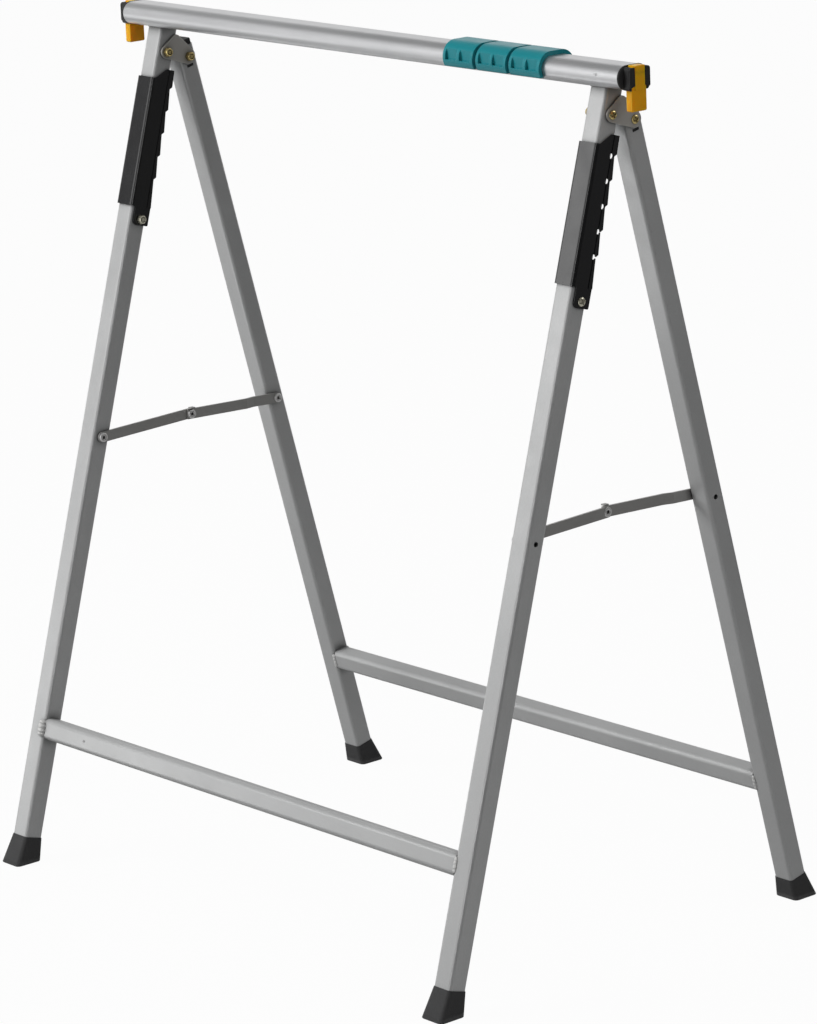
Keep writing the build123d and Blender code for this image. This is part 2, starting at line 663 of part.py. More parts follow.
def make_rivets():
    """The rivets of the stays: two groups in the legs, and one in each rear bar at the centre."""
    grip = STAY_THICK + SIDE_PLAY
    rear_washer = FRONT_BAR_LAYER - SIDE_PLAY / 2
    with BuildPart() as front_rivets:
        for side in SIDES.values():
            add_rivet(STAY_FRONT, side, STAY_WASHER, side * (LEG_X - FRONT_LEG_WIDTH / 2), grip, True)
    save(front_rivets, "stay_rivets_front")
    with BuildPart() as rear_rivets:
        for side in SIDES.values():
            add_rivet(STAY_REAR, side, rear_washer, side * (LEG_X - LEG_WIDTH / 2), grip, True)
    save(rear_rivets, "stay_rivets_rear")
    for name, side in SIDES.items():
        with BuildPart() as centre:
            add_rivet(STAY_CENTRE, side, 0, stay_layer(side, REAR_BAR_LAYER), STAY_THICK, False)
        save(centre, f"stay_centre_rivet_{name}")


os.makedirs("parts", exist_ok=True)
make_beam()
make_crossbar("front_crossbar", True, FRONT_CROSSBAR_UP, FRONT_LEG_WIDTH)
make_crossbar("rear_crossbar", False, REAR_CROSSBAR_UP, LEG_WIDTH)
make_hinge_fasteners()
make_rivets()
for side_name, side_sign in SIDES.items():
    make_front_leg(side_name, side_sign)
    make_rear_leg(side_name, side_sign)
    make_foot(f"front_foot_{side_name}", side_sign, True)
    make_foot(f"rear_foot_{side_name}", side_sign, False)
    make_end_cap(side_name, side_sign)
    make_end_stop(side_name, side_sign)
    make_leg_plug(side_name, side_sign)
    make_arm(side_name, side_sign)
    make_front_bar(side_name, side_sign)
    make_rear_bar(side_name, side_sign)
    for plate_name, away in {"inner": -side_sign, "outer": side_sign}.items():
        near_face = side_sign * LEG_X + away * LEG_WIDTH / 2
        make_hinge_plate(f"{side_name}_{plate_name}", min(near_face, near_face + away * PLATE_THICK))
for step, saddle_name in enumerate(("left", "middle", "right")):
    make_saddle(saddle_name, SADDLE_MIDDLE_X + (step - 1) * SADDLE_PITCH)
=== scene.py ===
import math
from collections import namedtuple

import bmesh
import bpy
from mathutils import Matrix, Vector, noise


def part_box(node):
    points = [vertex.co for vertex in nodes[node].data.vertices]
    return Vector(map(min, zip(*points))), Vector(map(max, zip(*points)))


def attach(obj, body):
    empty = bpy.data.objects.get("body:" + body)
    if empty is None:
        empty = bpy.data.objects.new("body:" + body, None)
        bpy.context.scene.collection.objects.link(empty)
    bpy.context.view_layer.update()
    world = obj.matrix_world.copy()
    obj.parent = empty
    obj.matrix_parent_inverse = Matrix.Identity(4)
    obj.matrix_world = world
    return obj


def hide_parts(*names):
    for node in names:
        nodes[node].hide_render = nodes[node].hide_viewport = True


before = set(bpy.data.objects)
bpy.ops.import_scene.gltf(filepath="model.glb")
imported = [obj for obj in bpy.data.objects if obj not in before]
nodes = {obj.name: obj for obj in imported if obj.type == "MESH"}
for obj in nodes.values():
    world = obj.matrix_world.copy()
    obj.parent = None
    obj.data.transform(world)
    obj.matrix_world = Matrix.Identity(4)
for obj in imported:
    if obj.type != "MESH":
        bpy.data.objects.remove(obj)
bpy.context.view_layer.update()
scene = bpy.context.scene
scene.view_settings.view_transform = "Standard"

SIDES = (("left", -1), ("right", 1))
SADDLES = ("saddle_left", "saddle_middle", "saddle_right")


# Camera at the viewing angle of the photograph: place in metres, lens and sensor in millimetres
CAMERA_PLACE = Vector((3.110, -2.598, 1.390))
CAMERA_RIGHT = Vector((0.65249, 0.75670, -0.04112))
CAMERA_UP = Vector((-0.16251, 0.19271, 0.96772))
CAMERA_LENS, CAMERA_SENSOR = 159.7, 36.0
CAMERA_SHIFT = (0.0014, 0.0046)
CAMERA_FAR = 200.0


def make_camera():
    data = bpy.data.cameras.new("camera")
    data.lens = CAMERA_LENS
    data.sensor_width = CAMERA_SENSOR
    data.shift_x, data.shift_y = CAMERA_SHIFT
    data.clip_end = CAMERA_FAR
    right = CAMERA_RIGHT.normalized()
    back = right.cross(CAMERA_UP).normalized()
    up = back.cross(right)
    camera = bpy.data.objects.new("camera", data)
    turn = Matrix((right, up, back)).transposed()
    camera.matrix_world = Matrix.Translation(CAMERA_PLACE) @ turn.to_4x4()
    scene.collection.objects.link(camera)
    scene.camera = camera


# Small helpers for node trees
def fill(node, values):
    """Sets a node's inputs by their names, which have underscores for spaces here."""
    for name, value in values.items():
        node.inputs[name.replace("_", " ")].default_value = value


def add(tree, kind, **values):
    """A node of a kind, with the values of its named inputs."""
    node = tree.nodes.new("ShaderNode" + kind)
    fill(node, values)
    return node


def add_maths(tree, operation, kind="Math"):
    """A node for one operation, on numbers or with kind VectorMath on vectors."""
    node = add(tree, kind)
    node.operation = operation
    return node


def join(tree, source, target, name, output=0):
    """A link from a node's output to another node's input."""
    tree.links.new(source.outputs[output], target.inputs[name])


def bare_material(name):
    """A material with an empty node tree."""
    material = bpy.data.materials.new(name)
    material.use_nodes = True
    material.node_tree.nodes.clear()
    return material


def seen_share(tree):
    """1 for rays that show the background: from the camera, off gloss and through glass."""
    path = add(tree, "LightPath")
    first = add_maths(tree, "ADD")
    second = add_maths(tree, "ADD")
    second.use_clamp = True
    join(tree, path, first, 0, "Is Camera Ray")
    join(tree, path, first, 1, "Is Glossy Ray")
    join(tree, first, second, 0)
    join(tree, path, second, 1, "Is Transmission Ray")
    return second


def put_out(tree, kind, lit, shown, share):
    """The output of a tree: one shader for light, another for the share of rays that show the background."""
    mix = add(tree, "MixShader")
    out = add(tree, kind)
    join(tree, share, mix, 0)
    join(tree, lit, mix, 1)
    join(tree, shown, mix, 2)
    join(tree, mix, out, "Surface")


def link_mesh(name, bm, material):
    """A finished mesh with its material, as an object in the scene."""
    mesh = bpy.data.meshes.new(name)
    bm.to_mesh(mesh)
    bm.free()
    mesh.materials.append(material)
    piece = bpy.data.objects.new(name, mesh)
    scene.collection.objects.link(piece)
    return piece


# Backdrop and floor: the backdrop's white fades by how far up a ray points, and the floor shows as white by
# the share FLOOR_SHOWN
WHITE = (1.0, 1.0, 1.0, 1.0)
WORLD_LIGHT = 0.15
BACKDROP_FADE = dict(From_Min=0.42, From_Max=0.57, To_Min=1.0, To_Max=0.14)
FLOOR_COLOUR = (0.4, 0.4, 0.4, 1.0)
FLOOR_SHOWN = 0.97
FLOOR_RADIUS, FLOOR_SIDES = 40.0, 64


def make_world():
    """A soft grey light from all round, behind a white backdrop that ends some way up."""
    world = bpy.data.worlds.new("studio")
    scene.world = world
    world.use_nodes = True
    tree = world.node_tree
    tree.nodes.clear()
    light = add(tree, "Background", Color=WHITE, Strength=WORLD_LIGHT)
    shown = add(tree, "Background", Color=WHITE)
    place = add(tree, "TexCoord")
    parts = add(tree, "SeparateXYZ")
    fade = add(tree, "MapRange", **BACKDROP_FADE)
    join(tree, place, parts, 0, "Generated")
    join(tree, parts, fade, "Value", "Z")
    join(tree, fade, shown, "Strength")
    put_out(tree, "OutputWorld", light, shown, seen_share(tree))


def make_floor():
    """A grey floor that keeps the part's shadow and shows as white."""
    bm = bmesh.new()
    bmesh.ops.create_circle(bm, cap_ends=True, segments=FLOOR_SIDES, radius=FLOOR_RADIUS)
    material = bare_material("floor")
    floor = link_mesh("floor", bm, material)
    tree = material.node_tree
    paper = add(tree, "BsdfDiffuse", Color=FLOOR_COLOUR)
    white = add(tree, "Emission", Color=WHITE, Strength=1.0)
    share = add_maths(tree, "MULTIPLY")
    share.inputs[1].default_value = FLOOR_SHOWN
    join(tree, seen_share(tree), share, 0)
    put_out(tree, "OutputMaterial", paper, white, share)


# Soft boxes: name, place, target, width of the square in metres, and power in watts
LAMPS = (("key", (-1.6, -1.9, 2.2), (0.0, 0.0, 0.45), 1.6, 80.0),
         ("side", (1.42, -0.1, 1.0), (0.2, 0.0, 0.5), 0.8, 2.9),
         ("top", (0.0, 0.2, 2.8), (0.0, 0.0, 0.4), 2.4, 6.0))


def make_lamp(name, place, target, width, power):
    """A soft box that lights the part and is not itself seen in its gloss."""
    data = bpy.data.lights.new(name, "AREA")
    data.shape = "SQUARE"
    data.size = width
    data.energy = power
    lamp = bpy.data.objects.new(name, data)
    lamp.location = place
    lamp.rotation_euler = (Vector(target) - Vector(place)).to_track_quat("-Z", "Y").to_euler()
    lamp.visible_glossy = False
    scene.collection.objects.link(lamp)


def round_wall(start, end, inner, outer, low, high, steps=12):
    """Quads of a wall about the part, from one azimuth to another, in degrees from the front."""
    quads = []
    for step in range(steps):
        edges = [math.radians(start + (end - start) * (step + k) / steps) for k in (0, 1)]
        low_edge = [(inner * math.sin(a), -inner * math.cos(a), low) for a in edges]
        high_edge = [(outer * math.sin(a), -outer * math.cos(a), high) for a in edges]
        quads.append((low_edge[0], low_edge[1], high_edge[1], high_edge[0]))
    return quads


def upright(start, end, low, high):
    """One upright quad over a line on the floor."""
    return [((*start, low), (*end, low), (*end, high), (*start, high))]


def level(near, far, height):
    """One level quad between two opposite corners."""
    return [((*near, height), (far[0], near[1], height), (*far, height), (near[0], far[1], height))]


# Cards in metres: a dark room behind the camera, a grey side to the right, bright sheets to the left and
# pale sheets on the floor. Each has a name, quads and a glow.
WALL_AT, WALL_TOP = 1.3, 2.4
GLINT_AT = 1.25
FLOOR_CARD_OUT, FLOOR_CARD_UP = 2.0, 0.004
SHEET_UP = 0.006
CARDS = (
    ("dark_card", round_wall(-5, 104, WALL_AT, WALL_AT, 0.0, WALL_TOP), 0.06),
    ("grey_card", round_wall(104, 178, WALL_AT, WALL_AT, 0.0, WALL_TOP), 0.11),
    ("floor_card", round_wall(0, 360, 0.0, FLOOR_CARD_OUT, FLOOR_CARD_UP, FLOOR_CARD_UP, steps=48), 0.34),
    ("bright_card", upright((-1.52, -1.38), (-1.16, -1.72), 0.66, 1.5), 2.2),
    ("low_card", round_wall(190, 262, WALL_AT, WALL_AT, 0.05, 0.72), 0.4),
    ("dim_card", upright((-2.62, -1.1), (-2.1, -2.05), 0.5, 1.9), 0.3),
    ("strip_card", upright((0.33, -1.06), (0.51, -0.9), 0.1, 1.1), 2.6),
    ("glint_card", round_wall(118, 165, GLINT_AT, GLINT_AT, 1.1, 1.8), 1.7),
    ("sheet_card", level((-1.7, -0.05), (-0.8, 0.5), SHEET_UP), 1.1),
    ("near_sheet_card", level((-0.95, -0.95), (-0.5, -0.45), SHEET_UP), 1.8),
    ("low_bright_card", upright((-1.75, -1.0), (-1.35, -1.35), 0.05, 0.42), 1.6),
    ("low_grey_card", upright((-1.34, -1.5), (-1.0, -1.85), 0.0, 0.6), 0.45))


def make_card(name, quads, glow):
    """A studio card that shows only in gloss, from quads given by their corners."""
    bm = bmesh.new()
    for quad in quads:
        bm.faces.new([bm.verts.new(corner) for corner in quad])
    material = bare_material(name)
    tree = material.node_tree
    light = add(tree, "Emission", Color=WHITE, Strength=glow)
    out = add(tree, "OutputMaterial")
    join(tree, light, out, "Surface")
    card = link_mesh(name, bm, material)
    card.visible_camera = False
    card.visible_diffuse = False
    card.visible_transmission = False
    card.visible_volume_scatter = False
    card.visible_shadow = False


# Materials: most values of a noise texture lie in NOISE_RANGE, a colour is tinted between the shares in
# TINT_RANGE, and its patches of gloss are ROUGH_FINER times finer than its patches of colour
NOISE_RANGE = dict(From_Min=0.3, From_Max=0.7)
TINT_RANGE = (0.8, 1.2)
TINT_MIDDLE = 0.5
ROUGH_FINER = 6
# Painted shade in inner corners: an ambient occlusion node darkens the colour, raised to this power
CORNER_SHADE_POWER, CORNER_SHADE_SAMPLES = 1.5, 8


def spread_noise(tree, texture, low, high):
    """The values of a noise texture, spread between two limits."""
    node = add(tree, "MapRange", To_Min=low, To_Max=high, **NOISE_RANGE)
    join(tree, texture, node, "Value")
    return node


def add_grime(tree, tint, width):
    """A colour with painted shade: darker where an ambient occlusion node finds surfaces close by, over a
    width in metres.
    """
    open_share = add(tree, "AmbientOcclusion", Distance=width)
    open_share.samples = CORNER_SHADE_SAMPLES
    corner_shade = add_maths(tree, "POWER")
    corner_shade.inputs[1].default_value = CORNER_SHADE_POWER
    join(tree, open_share, corner_shade, 0, "AO")
    tinted = add_maths(tree, "SCALE", "VectorMath")
    join(tree, tint, tinted, 0)
    join(tree, corner_shade, tinted, "Scale")
    return tinted


def add_dent(tree, place, below, spot, radius, depth):
    """A round dent at a spot, added to the bump below it."""
    away = add_maths(tree, "DISTANCE", "VectorMath")
    away.inputs[1].default_value = spot
    join(tree, place, away, 0, "Object")
    pit = add(tree, "MapRange", From_Min=0.0, From_Max=radius, To_Min=0.0, To_Max=1.0)
    pit.interpolation_type = "SMOOTHSTEP"
    join(tree, away, pit, "Value", "Value")
    dent = add(tree, "Bump", Strength=1.0, Distance=depth)
    join(tree, pit, dent, "Height")
    join(tree, below, dent, "Normal")
    return dent


def surface(name, colour, rough, grain, bump, metallic=0.0, spread=0.04, cloud=9.0, stretch=None, marks=(),
            corners=0.0, **sockets):
    """A material whose colour, roughness and height vary over the piece.

    rough is (least, most), grain (scale, share of colour) and bump (scale, height in metres). spread and
    cloud are the share of colour and the scale of its soft patches. stretch (lean in degrees, factor) draws
    the grain out along a leaning tube. marks are dents, each (place, radius, depth). corners is the width in
    metres over which painted shade, from an ambient occlusion node, darkens the colour in inner corners.
    sockets are further inputs of the shader.
    """
    material = bpy.data.materials.new(name)
    material.use_nodes = True
    tree = material.node_tree
    shader = tree.nodes["Principled BSDF"]
    fill(shader, dict(Metallic=metallic, **sockets))
    place = add(tree, "TexCoord")

    def texture(scale, detail, source=place, output="Object"):
        node = add(tree, "TexNoise", Scale=scale, Detail=detail)
        join(tree, source, node, "Vector", output)
        return node

    if stretch:
        lean, factor = stretch
        mapping = add(tree, "Mapping", Rotation=(math.radians(-lean), 0.0, 0.0), Scale=(1.0, 1.0, factor))
        mapping.vector_type = "TEXTURE"
        join(tree, place, mapping, "Vector", "Object")
        specks = texture(grain[0], 2.0, mapping, "Vector")
    else:
        specks = texture(grain[0], 2.0)
    mixed = add_maths(tree, "ADD")
    join(tree, spread_noise(tree, specks, -grain[1], grain[1]), mixed, 0)
    patches = spread_noise(tree, texture(cloud, 3.0), TINT_MIDDLE - spread, TINT_MIDDLE + spread)
    join(tree, patches, mixed, 1)
    tint = add(tree, "ValToRGB")
    for element, factor in zip(tint.color_ramp.elements, TINT_RANGE):
        element.position = factor - 1.0 + TINT_MIDDLE
        element.color = (*(min(c * factor, 1.0) for c in colour), 1.0)
    join(tree, mixed, tint, "Fac")
    # Painted shade: the colour is darkened in inner corners, over the width given by corners
    if corners:
        tint = add_grime(tree, tint, corners)
    join(tree, tint, shader, "Base Color")
    join(tree, spread_noise(tree, texture(cloud * ROUGH_FINER, 4.0), *rough), shader, "Roughness")
    height = add(tree, "Bump", Strength=1.0, Distance=bump[1])
    join(tree, texture(bump[0], 2.0), height, "Height")
    for mark in marks:
        height = add_dent(tree, place, height, *mark)
    join(tree, height, shader, "Normal")
    return material


# The rear frame's silver is the same paint made a little darker: painted shade on the rear legs
SILVER, REAR_SILVER_SHADED = (0.56, 0.565, 0.565), (0.53, 0.535, 0.535)
CROSSBAR_MARKS = [((-0.2334, -0.1873, 0.1284), 0.0019, 0.001)]
BEAM_MARKS = [((0.3163, -0.0109, 0.7912), 0.0016, 0.0006), ((0.3135, -0.0109, 0.7915), 0.001, 0.0003)]


def make_looks():
    """The materials, by the names under which the pieces ask for them.

    Each range of roughness lies on one side of 0.274. The denoiser takes a smoother surface for glossy and a
    rougher one for matt, so a range that crosses this value would show as specks.
    """
    # corners in these looks is the width of painted shade that darkens the colour in inner corners
    tube = dict(rough=(0.3, 0.38), grain=(2600.0, 0.05), bump=(800.0, 0.000012), metallic=0.32, corners=0.01)
    sheet = dict(rough=(0.32, 0.42), grain=(1800.0, 0.05), bump=(700.0, 0.000012), metallic=0.4)
    return {
        "front": surface("leg_paint_front", SILVER, stretch=(16.0, 6.0), **tube),
        "rear": surface("leg_paint_rear", REAR_SILVER_SHADED, stretch=(-14.0, 6.0), **tube),
        "bars": surface("crossbar_paint", SILVER, marks=CROSSBAR_MARKS, **tube),
        "beam": surface("beam_paint", (0.64, 0.645, 0.655), rough=(0.345, 0.375), grain=(2200.0, 0.03),
                        bump=(600.0, 0.000001), metallic=0.75, marks=BEAM_MARKS),
        # The stays wear the legs' silver paint made darker: painted shade, as their sides face away from the
        # light
        "stay": surface("stay_paint", (0.40, 0.395, 0.385), **sheet),
        "plate": surface("plate_paint", (0.54, 0.525, 0.495), corners=0.007, **sheet),
        "black": surface("arm_black", (0.006, 0.006, 0.007), rough=(0.17, 0.23), grain=(1500.0, 0.1),
                         bump=(1100.0, 0.000008), IOR=1.75),
        "plastic": surface("black_plastic", (0.032, 0.0315, 0.0315), rough=(0.36, 0.46), grain=(1400.0, 0.1),
                           bump=(1600.0, 0.00002), IOR=1.26),
        "rubber": surface("foot_rubber", (0.058, 0.058, 0.059), rough=(0.44, 0.58), grain=(1200.0, 0.12),
                          bump=(1300.0, 0.00005), IOR=1.3),
        "yellow": surface("stop_yellow", (0.93, 0.425, 0.008), rough=(0.34, 0.44), grain=(900.0, 0.03),
                          bump=(1500.0, 0.00001), IOR=1.33, Subsurface_Weight=0.6,
                          Subsurface_Radius=(1.0, 0.42, 0.04), Subsurface_Scale=0.007),
        "teal": surface("saddle_teal", (0.009, 0.255, 0.295), rough=(0.3, 0.4), grain=(1000.0, 0.04),
                        bump=(1500.0, 0.00001), IOR=1.4),
        "gold": surface("zinc_gold", (0.88, 0.68, 0.3), rough=(0.1, 0.2), grain=(700.0, 0.15),
                        bump=(900.0, 0.00001), metallic=0.8, spread=0.14, cloud=220.0, corners=0.004),
        "steel": surface("rivet_steel", (0.9, 0.885, 0.86), rough=(0.28, 0.38), grain=(900.0, 0.08),
                         bump=(900.0, 0.00001), metallic=0.7, cloud=120.0, corners=0.0022),
        "pale": surface("zinc_pale", (0.95, 0.87, 0.68), rough=(0.14, 0.24), grain=(800.0, 0.1),
                        bump=(900.0, 0.00001), metallic=0.65, spread=0.1, cloud=200.0, corners=0.004),
        # The welds wear the crossbars' silver paint made lighter: a painted highlight on the beads
        "bead": surface("weld_paint_lightened", (0.7, 0.7, 0.69), rough=(0.3, 0.4), grain=(1500.0, 0.06),
                        bump=(900.0, 0.00002), metallic=0.32)}


def both(*patterns):
    """The names on the left and on the right that follow from patterns."""
    return [pattern.format(side) for side, sign in SIDES for pattern in patterns]


def dress(looks):
    """Gives every node of the frame its material."""
    worn = {"beam": ["beam_tube"],
            "bars": ["front_crossbar", "rear_crossbar"],
            "front": both("front_leg_{}"),
            "rear": both("rear_leg_{}"),
            "plate": both("hinge_plate_{}_inner", "hinge_plate_{}_outer"),
            "stay": both("stay_front_{}", "stay_rear_{}"),
            "black": both("support_arm_{}"),
            "plastic": both("end_cap_{}", "leg_plug_{}"),
            "rubber": both("front_foot_{}", "rear_foot_{}"),
            "yellow": both("end_stop_{}"),
            "teal": SADDLES,
            "gold": ["hinge_screws", "hinge_nuts"],
            "pale": both("arm_screw_{}", "arm_nut_{}"),
            "steel": ["stay_rivets_front", "stay_rivets_rear"] + both("stay_centre_rivet_{}")}
    for look, names in worn.items():
        for name in names:
            mesh = nodes[name].data
            mesh.materials.clear()
            mesh.materials.append(looks[look])


# Places on the solids, in metres: each frame's lean from upright and its side of the beam, the beam's section
# and end, the stays' pivots as (y, z), and the legs' section and places at the floor
LEANS = {"front": math.radians(16.03), "rear": math.radians(-13.91)}
WAYS = {"front": -1, "rear": 1}
BEAM_Y, BEAM_Z = 0.006, 0.7895
BEAM_HALF, BEAM_ROUND = 0.0065, 0.0105
BEAM_END = 0.342
STAY_FRONT = (-0.09935, 0.399)
STAY_REAR = (0.11521, 0.399)
STAY_CENTRE = (0.00621, 0.403)
LEG_AT, FOOT_AT = 0.3075, 0.214
LEG_HALF, LEG_CORNER = (0.011, 0.00975), 0.0033

# Edges sharper than these angles, in degrees, are not smoothed
SHARP_TUBE, SHARP_BEAD, SHARP_SCREW, SHARP_MOULDED = 35.0, 80.0, 50.0, 30.0

# Points closer than SEAM meet in a closed ring, those closer than MERGE are one in a solid's mesh, and HAIR
# keeps the ends of two arcs apart
SEAM, MERGE, HAIR = 1e-7, 0.000002, 0.00001


def keep(name, bm, body, material, sharp=SHARP_TUBE):
    """A finished mesh as a piece that rides on a body."""
    bmesh.ops.recalc_face_normals(bm, faces=bm.faces)
    piece = link_mesh(name, bm, material)
    piece.data.shade_smooth()
    piece.data.set_sharp_from_angle(angle=math.radians(sharp))
    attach(piece, body)
    return piece


def even_normals(piece):
    """Flat faces stay flat beside their rounded edges."""
    piece.modifiers.new("normals", "WEIGHTED_NORMAL").keep_sharp = True


def round_edges(piece, width, segments, angle):
    """Small round edges where faces meet at more than an angle, in degrees."""
    edge = piece.modifiers.new("edges", "BEVEL")
    edge.width, edge.segments = width, segments
    edge.limit_method, edge.angle_limit = "ANGLE", math.radians(angle)
    even_normals(piece)


def turns(count):
    """Evenly spaced angles round a circle."""
    return [2 * math.pi * k / count for k in range(count)]


def quarter(steps):
    """Evenly spaced angles from 0 to a right angle."""
    return [math.pi / 2 * step / steps for step in range(steps + 1)]


def rounded(half_width, half_height, corner, steps=10):
    """The outline of a rounded rectangle."""
    points = []
    for turn, (x, y) in enumerate(((1, 1), (-1, 1), (-1, -1), (1, -1))):
        for step in range(steps + 1):
            angle = math.pi / 2 * (turn + step / steps)
            points.append((x * (half_width - corner) + corner * math.cos(angle),
                           y * (half_height - corner) + corner * math.sin(angle)))
    return points


def skin(bm, rings, ends=True):
    """Faces between rings of points, and over both ends."""
    loops = [[bm.verts.new(point) for point in ring] for ring in rings]
    for one, two in zip(loops, loops[1:]):
        for k in range(len(one)):
            bm.faces.new((one[k - 1], one[k], two[k], two[k - 1]))
    if ends:
        bm.faces.new(loops[0])
        bm.faces.new(loops[-1])


def skin_round(bm, rings):
    """Faces between rings of points, from the last on to the first, where a seam is left open."""
    skin(bm, rings + rings[:1], ends=False)


def close(bm, distance):
    """Merges points that lie within a distance of each other."""
    bmesh.ops.remove_doubles(bm, verts=bm.verts, dist=distance)


def prism(bm, outline, start, end):
    """A solid along X from an outline of (y, z)."""
    skin(bm, [[(x, y, z) for y, z in outline] for x in (start, end)])


def cut_off(bm, place, normal):
    """Takes off what lies beyond a plane, and closes the cut."""
    geometry = bm.verts[:] + bm.edges[:] + bm.faces[:]
    cut = bmesh.ops.bisect_plane(bm, geom=geometry, plane_co=place, plane_no=normal, clear_outer=True)
    edges = [item for item in cut["geom_cut"] if isinstance(item, bmesh.types.BMEdge)]
    if edges:
        bmesh.ops.edgeloop_fill(bm, edges=edges)


def stations(start, end, pitch=0.008):
    """Evenly spaced places along a tube, so that its faces stay short."""
    count = max(1, round(abs(end - start) / pitch))
    return [start + (end - start) * k / count for k in range(count + 1)]


def frame_axes(lean):
    """Directions up a leg, and out of its front face."""
    return Vector((0, math.sin(lean), math.cos(lean))), Vector((0, -math.cos(lean), math.sin(lean)))


# Welds in metres, with how far each lies onto the leg. A weld is a row of coins, with a swell of WELD_VALLEY
# between them and WELD_COIN more on them. WELD_TIP of its width is left at its ends, and WELD_ROUGH of its
# height is noise.
Weld = namedtuple("Weld", "length half_width height overlap")
LARGE_WELD = Weld(0.0165, 0.0046, 0.0034, 0.0034)
FINE_WELD = Weld(0.015, 0.0022, 0.0012, 0.0012)
WELD_RINGS, WELD_SIDES, WELD_COINS = 56, 14, 4
WELD_VALLEY, WELD_COIN, WELD_COIN_POWER = 0.78, 0.28, 0.6
WELD_TIP = 0.02
WELD_ROUGH, WELD_GRAIN = 0.12, 700


def make_weld(name, place, along, across, out, body, material, weld):
    """A short weld of overlapping coins, laid along a joint."""
    rings = []
    for k in range(WELD_RINGS + 1):
        t = 2 * k / WELD_RINGS - 1
        taper = max(1 - t ** 4, 0.0) ** 0.5 + WELD_TIP
        ripple = abs(math.sin(math.pi * WELD_COINS / 2 * (t + 1)))
        swell = taper * (WELD_VALLEY + WELD_COIN * ripple ** WELD_COIN_POWER)
        width, height = weld.half_width * swell, weld.height * swell
        centre = place + along * (t * weld.length / 2)
        ring = []
        for angle in turns(WELD_SIDES):
            point = centre + across * (width * math.cos(angle)) + out * (height * math.sin(angle))
            ring.append(point + out * (WELD_ROUGH * weld.height * noise.noise(point * WELD_GRAIN)))
        rings.append(ring)
    bm = bmesh.new()
    skin(bm, rings)
    keep(name, bm, body, material, SHARP_BEAD)


CROSSBAR_HALF = (0.009, 0.01025)
CROSSBAR_CORNER = 0.0052


def make_crossbar(kind, material, bead):
    """A welded crossbar, drawn with well rounded corners."""
    node, body = kind + "_crossbar", kind + "_frame"
    low, high = (Vector(corner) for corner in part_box(node))
    middle = (low + high) / 2
    up, out = frame_axes(LEANS[kind])
    outline = rounded(*CROSSBAR_HALF, CROSSBAR_CORNER)
    rings = []
    for x in stations(low.x, high.x):
        centre = Vector((x, middle.y, middle.z))
        rings.append([centre + out * d + up * h for d, h in outline])
    bm = bmesh.new()
    skin(bm, rings)
    piece = keep(node + "_tube", bm, body, material)
    even_normals(piece)
    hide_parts(node)
    for side, x in (("left", low.x), ("right", high.x)):
        inward = Vector((1 if side == "left" else -1, 0, 0))
        for face, facing in (("front", 1), ("back", -1)):
            large = face == "back" or (kind, side) == ("front", "left")
            weld = LARGE_WELD if large else FINE_WELD
            place = Vector((x, middle.y, middle.z)) - inward * weld.overlap + out * CROSSBAR_HALF[0] * facing
            make_weld(f"weld_{node}_{side}_{face}", place, up, inward, out * facing, body, bead, weld)


BEAM_STEPS = 24


def make_beam(material):
    """The oval beam, with an even run of facets round its sides."""
    outline = rounded(BEAM_HALF + BEAM_ROUND, BEAM_ROUND, BEAM_ROUND - HAIR, BEAM_STEPS)
    rings = [[(x, BEAM_Y + y, BEAM_Z + z) for y, z in outline] for x in stations(-BEAM_END, BEAM_END)]
    bm = bmesh.new()
    skin(bm, rings)
    piece = keep("beam_tube_drawn", bm, "front_frame", material)
    even_normals(piece)
    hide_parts("beam_tube")


# The weld under the beam: the outline that it follows round a leg, where up the leg its points start and how
# finely they climb, its radius, and the shares of that in waves and in noise
BEAM_WELD_HALF, BEAM_WELD_CORNER, BEAM_WELD_STEPS = (0.0111, 0.01005), 0.0036, 14
BEAM_WELD_FROM, BEAM_WELD_CLIMB = 0.76, 0.0002
BEAM_WELD_RADIUS, BEAM_WELD_SIDES = 0.0009, 8
BEAM_WELD_WAVE, BEAM_WELD_WAVE_TURN = 0.14, 2.1
BEAM_WELD_ROUGH, BEAM_WELD_GRAIN = 0.3, 600


def into_beam(point, up):
    """The point pushed up until it meets the beam."""
    while math.hypot(max(abs(point.y - BEAM_Y) - BEAM_HALF, 0.0), point.z - BEAM_Z) > BEAM_ROUND:
        point = point + up * BEAM_WELD_CLIMB
    return point


def make_beam_weld(side, sign, material):
    """A thin weld that runs round the top of a front leg, under the beam."""
    up, out = frame_axes(LEANS["front"])
    start = Vector((sign * LEG_AT, -FOOT_AT, 0.0)) + up * BEAM_WELD_FROM
    outline = rounded(*BEAM_WELD_HALF, BEAM_WELD_CORNER, BEAM_WELD_STEPS)
    points = [into_beam(start + Vector((w, 0, 0)) + out * d, up) for w, d in outline]
    rings = []
    for k, point in enumerate(points):
        tangent = (points[(k + 1) % len(points)] - points[k - 1]).normalized()
        across = tangent.cross(up).normalized()
        wave = BEAM_WELD_WAVE * math.sin(BEAM_WELD_WAVE_TURN * k)
        size = BEAM_WELD_RADIUS * (1 + wave + BEAM_WELD_ROUGH * noise.noise(point * BEAM_WELD_GRAIN))
        rings.append([point + across * (size * math.cos(angle)) + up * (size * math.sin(angle))
                      for angle in turns(BEAM_WELD_SIDES)])
    bm = bmesh.new()
    skin_round(bm, rings)
    close(bm, SEAM)
    keep("weld_beam_" + side, bm, "front_frame", material, SHARP_BEAD)


# Rolled rims and collars, in metres
Rim = namedtuple("Rim", "radius half_thick height")
HEAD_RIMS = (Rim(0.0035, 0.001, 0.0008), Rim(0.00215, 0.0005, 0.0006))
TAIL_RIMS = (Rim(0.0031, 0.0014, 0.00045),)
COLLAR_RIMS = (Rim(0.0032, 0.0007, 0.0014),)
RIM_STEPS, RIM_SIDES = 36, 10
PIVOT_NEAR = 0.003


